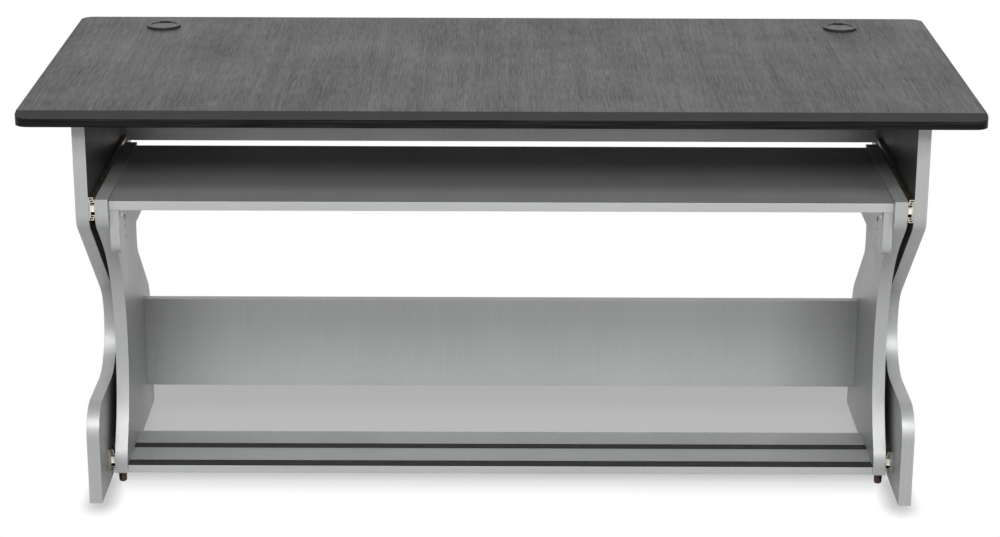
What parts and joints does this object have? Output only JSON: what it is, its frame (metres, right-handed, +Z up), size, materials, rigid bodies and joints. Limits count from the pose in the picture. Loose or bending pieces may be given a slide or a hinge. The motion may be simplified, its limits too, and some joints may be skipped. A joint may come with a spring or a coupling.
{
  "type": "studio desk",
  "caption": "Wide studio desk with shaped side panels and a roll-out keyboard frame on ball bearing slides and castors, with a pedal shelf.",
  "frame": {"origin": "on the floor, under the middle of the top, which is the middle of the whole desk seen from above", "axes": "+X to the right as seen by the person sitting at it, +Y to the rear, +Z up"},
  "size_m": [1.8, 0.828, 0.8067],
  "materials": {
    "top_grain": "melamine with a dark grey wood grain running front to back, satin",
    "edge_band": "black edge band with a fine horizontal grain",
    "silver_board": "melamine faced board in metallic silver grey, satin",
    "grommet_plastic": "moulded dark grey plastic, fine matt texture",
    "zinc_steel": "zinc plated rolled steel with a warm passivated tint",
    "cage_steel": "bright steel cage with polished balls",
    "ivory_plastic": "ivory moulded plastic",
    "bolt_black": "black oxide steel",
    "rubber": "black anti slip rubber, fine ribs",
    "castor_bronze": "dark bronze plated steel",
    "castor_ball": "polished steel ball"
  },
  "bodies": {
    "base": {"desktop_board": "top_grain", "desktop_edge_band": "edge_band", "grommet_sleeve_left": "grommet_plastic", "grommet_sleeve_right": "grommet_plastic", "outer_side_left": "silver_board", "outer_side_right": "silver_board", "rear_apron": "silver_board", "apron_bracket_left": "zinc_steel", "apron_bracket_middle": "zinc_steel", "apron_bracket_right": "zinc_steel", "side_bracket_left": "zinc_steel", "side_bracket_right": "zinc_steel", "slide_upper_left_outer": "zinc_steel", "slide_upper_right_outer": "zinc_steel", "slide_lower_left_outer": "zinc_steel", "slide_lower_right_outer": "zinc_steel"},
    "keyboard_frame": {"inner_side_left": "silver_board", "inner_side_right": "silver_board", "keyboard_shelf": "silver_board", "shelf_cleat_left": "silver_board", "shelf_cleat_right": "silver_board", "shelf_bracket_front_left": "zinc_steel", "shelf_bracket_front_right": "zinc_steel", "shelf_bracket_rear_left": "zinc_steel", "shelf_bracket_rear_right": "zinc_steel", "cleat_bolt_front_left": "bolt_black", "cleat_bolt_front_right": "bolt_black", "cleat_bolt_rear_left": "bolt_black", "cleat_bolt_rear_right": "bolt_black", "modesty_panel": "silver_board", "pedal_shelf": "silver_board", "rubber_strip_front": "rubber", "rubber_strip_rear": "rubber", "slide_upper_left_inner": "zinc_steel", "slide_upper_right_inner": "zinc_steel", "slide_lower_left_inner": "zinc_steel", "slide_lower_right_inner": "zinc_steel", "castor_housing_left": "castor_bronze", "castor_housing_right": "castor_bronze"},
    "slide_upper_left_middle_member": {"slide_upper_left_middle": "zinc_steel", "slide_upper_left_stop": "ivory_plastic"},
    "slide_upper_left_outer_balls": {"slide_upper_left_outer_cage": "cage_steel"},
    "slide_upper_left_inner_balls": {"slide_upper_left_inner_cage": "cage_steel"},
    "slide_upper_right_middle_member": {"slide_upper_right_middle": "zinc_steel", "slide_upper_right_stop": "ivory_plastic"},
    "slide_upper_right_outer_balls": {"slide_upper_right_outer_cage": "cage_steel"},
    "slide_upper_right_inner_balls": {"slide_upper_right_inner_cage": "cage_steel"},
    "slide_lower_left_middle_member": {"slide_lower_left_middle": "zinc_steel", "slide_lower_left_stop": "ivory_plastic"},
    "slide_lower_left_outer_balls": {"slide_lower_left_outer_cage": "cage_steel"},
    "slide_lower_left_inner_balls": {"slide_lower_left_inner_cage": "cage_steel"},
    "slide_lower_right_middle_member": {"slide_lower_right_middle": "zinc_steel", "slide_lower_right_stop": "ivory_plastic"},
    "slide_lower_right_outer_balls": {"slide_lower_right_outer_cage": "cage_steel"},
    "slide_lower_right_inner_balls": {"slide_lower_right_inner_cage": "cage_steel"},
    "grommet_cap_left_turning": {"grommet_cap_left": "grommet_plastic"},
    "castor_ball_left_rolling": {"castor_ball_left": "castor_ball"},
    "grommet_cap_right_turning": {"grommet_cap_right": "grommet_plastic"},
    "castor_ball_right_rolling": {"castor_ball_right": "castor_ball"}
  },
  "joints": [
    {"name": "keyboard_slide", "type": "slide", "parent": "base", "child": "keyboard_frame", "axis": [0, -1, 0], "range_m": [0, 0.45]},
    {"name": "slide_upper_left_middle_member_travel", "type": "slide", "parent": "base", "child": "slide_upper_left_middle_member", "axis": [0, -1, 0], "range_m": [0, 0.225]},
    {"name": "slide_upper_left_outer_balls_travel", "type": "slide", "parent": "base", "child": "slide_upper_left_outer_balls", "axis": [0, -1, 0], "range_m": [0, 0.1125]},
    {"name": "slide_upper_left_inner_balls_travel", "type": "slide", "parent": "base", "child": "slide_upper_left_inner_balls", "axis": [0, -1, 0], "range_m": [0, 0.3375]},
    {"name": "slide_upper_right_middle_member_travel", "type": "slide", "parent": "base", "child": "slide_upper_right_middle_member", "axis": [0, -1, 0], "range_m": [0, 0.225]},
    {"name": "slide_upper_right_outer_balls_travel", "type": "slide", "parent": "base", "child": "slide_upper_right_outer_balls", "axis": [0, -1, 0], "range_m": [0, 0.1125]},
    {"name": "slide_upper_right_inner_balls_travel", "type": "slide", "parent": "base", "child": "slide_upper_right_inner_balls", "axis": [0, -1, 0], "range_m": [0, 0.3375]},
    {"name": "slide_lower_left_middle_member_travel", "type": "slide", "parent": "base", "child": "slide_lower_left_middle_member", "axis": [0, -1, 0], "range_m": [0, 0.225]},
    {"name": "slide_lower_left_outer_balls_travel", "type": "slide", "parent": "base", "child": "slide_lower_left_outer_balls", "axis": [0, -1, 0], "range_m": [0, 0.1125]},
    {"name": "slide_lower_left_inner_balls_travel", "type": "slide", "parent": "base", "child": "slide_lower_left_inner_balls", "axis": [0, -1, 0], "range_m": [0, 0.3375]},
    {"name": "slide_lower_right_middle_member_travel", "type": "slide", "parent": "base", "child": "slide_lower_right_middle_member", "axis": [0, -1, 0], "range_m": [0, 0.225]},
    {"name": "slide_lower_right_outer_balls_travel", "type": "slide", "parent": "base", "child": "slide_lower_right_outer_balls", "axis": [0, -1, 0], "range_m": [0, 0.1125]},
    {"name": "slide_lower_right_inner_balls_travel", "type": "slide", "parent": "base", "child": "slide_lower_right_inner_balls", "axis": [0, -1, 0], "range_m": [0, 0.3375]},
    {"name": "grommet_cap_left_turn", "type": "hinge", "parent": "base", "child": "grommet_cap_left_turning", "pos_m": [-0.714, 0.318, 0.8015], "axis": [0, 0, 1], "continuous": true},
    {"name": "castor_ball_left_roll", "type": "hinge", "parent": "keyboard_frame", "child": "castor_ball_left_rolling", "pos_m": [-0.7548, -0.24452, 0.0065], "axis": [1, 0, 0], "continuous": true},
    {"name": "grommet_cap_right_turn", "type": "hinge", "parent": "base", "child": "grommet_cap_right_turning", "pos_m": [0.714, 0.318, 0.8015], "axis": [0, 0, 1], "continuous": true},
    {"name": "castor_ball_right_roll", "type": "hinge", "parent": "keyboard_frame", "child": "castor_ball_right_rolling", "pos_m": [0.7548, -0.24452, 0.0065], "axis": [1, 0, 0], "continuous": true}
  ],
  "couplings": [
    {"joint": "slide_upper_left_middle_member_travel", "follows": "keyboard_slide", "ratio": 0.5},
    {"joint": "slide_upper_left_outer_balls_travel", "follows": "keyboard_slide", "ratio": 0.25},
    {"joint": "slide_upper_left_inner_balls_travel", "follows": "keyboard_slide", "ratio": 0.75},
    {"joint": "slide_upper_right_middle_member_travel", "follows": "keyboard_slide", "ratio": 0.5},
    {"joint": "slide_upper_right_outer_balls_travel", "follows": "keyboard_slide", "ratio": 0.25},
    {"joint": "slide_upper_right_inner_balls_travel", "follows": "keyboard_slide", "ratio": 0.75},
    {"joint": "slide_lower_left_middle_member_travel", "follows": "keyboard_slide", "ratio": 0.5},
    {"joint": "slide_lower_left_outer_balls_travel", "follows": "keyboard_slide", "ratio": 0.25},
    {"joint": "slide_lower_left_inner_balls_travel", "follows": "keyboard_slide", "ratio": 0.75},
    {"joint": "slide_lower_right_middle_member_travel", "follows": "keyboard_slide", "ratio": 0.5},
    {"joint": "slide_lower_right_outer_balls_travel", "follows": "keyboard_slide", "ratio": 0.25},
    {"joint": "slide_lower_right_inner_balls_travel", "follows": "keyboard_slide", "ratio": 0.75}
  ]
}
